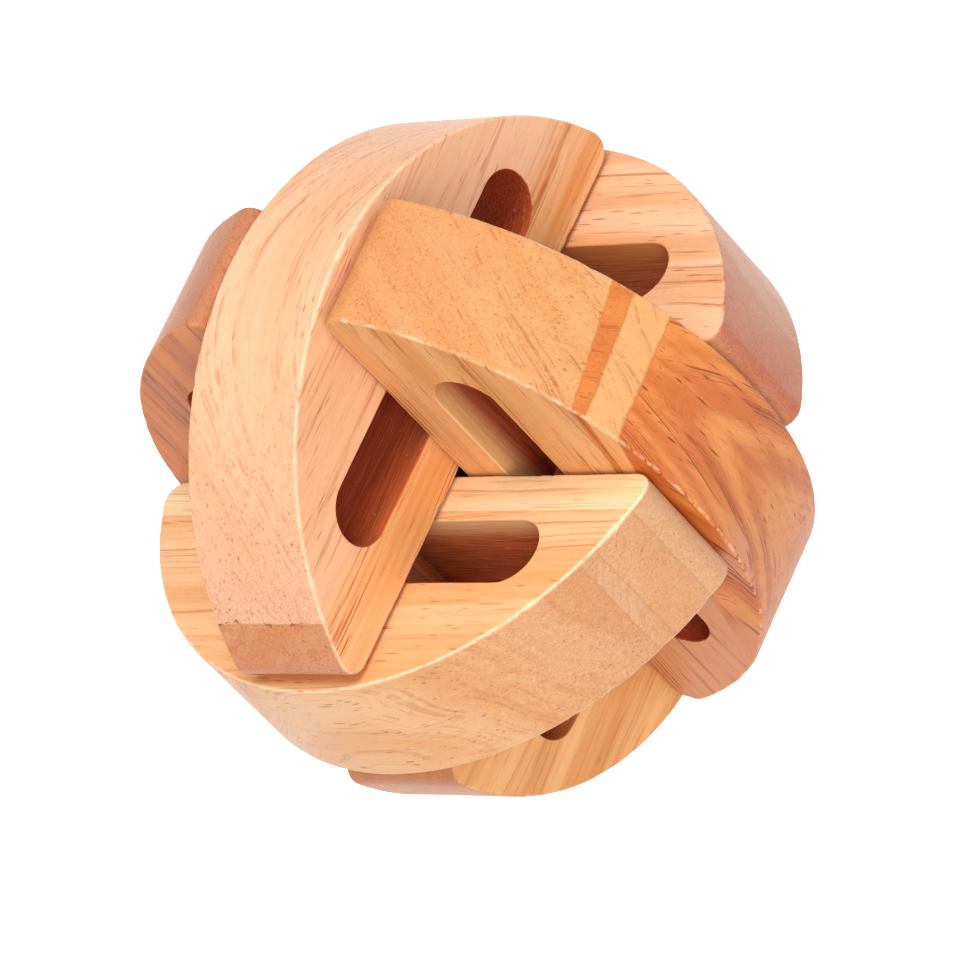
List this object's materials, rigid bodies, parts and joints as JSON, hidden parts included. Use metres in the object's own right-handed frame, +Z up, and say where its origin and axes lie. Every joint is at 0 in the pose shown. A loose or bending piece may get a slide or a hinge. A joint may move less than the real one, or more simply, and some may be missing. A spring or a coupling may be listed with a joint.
{
  "type": "wooden burr puzzle",
  "caption": "Ball-shaped wooden burr puzzle of interlocking slotted half-moons held by pins, with a key piece that slides out first.",
  "frame": {"origin": "the ball's centre, where the middle planes of the three crossing discs meet", "axes": "+Z up, out of the top half-moon, whose flat edge runs along X; +X out of the right half-moon; +Y out of the back half-moon; the key is on the -X side and slides out towards +Y; the ball rests on the rim of the bottom half-moon"},
  "size_m": [0.0776, 0.0776, 0.0776],
  "materials": {
    "wood_top": "clear satin lacquer over sanded pale hardwood",
    "wood_right": "clear satin lacquer over sanded pale hardwood",
    "wood_back": "clear satin lacquer over sanded pale hardwood",
    "wood_bottom": "clear satin lacquer over sanded pale hardwood",
    "wood_key": "clear satin lacquer over sanded pale hardwood",
    "wood_front": "clear satin lacquer over sanded pale hardwood",
    "wood_pin": "dark oiled hardwood dowel"
  },
  "bodies": {
    "locked_three": {"top_half_moon": "wood_top", "right_half_moon": "wood_right", "back_half_moon": "wood_back", "top_pin_right": "wood_pin", "top_pin_left": "wood_pin", "right_pin_back": "wood_pin", "right_pin_front": "wood_pin", "back_pin_top": "wood_pin", "back_pin_bottom": "wood_pin"},
    "key": {"left_key": "wood_key"},
    "bottom_slider": {"bottom_half_moon": "wood_bottom"},
    "front_slider": {"front_half_moon": "wood_front"}
  },
  "joints": [
    {"name": "key_slide", "type": "slide", "parent": "locked_three", "child": "key", "axis": [0, 1, 0], "range_m": [-0.021, 0.08]},
    {"name": "bottom_slide", "type": "slide", "parent": "locked_three", "child": "bottom_slider", "axis": [1, 0, 0], "range_m": [-0.021, 0.021]},
    {"name": "front_slide", "type": "slide", "parent": "locked_three", "child": "front_slider", "axis": [0, 0, 1], "range_m": [-0.021, 0.021]}
  ]
}
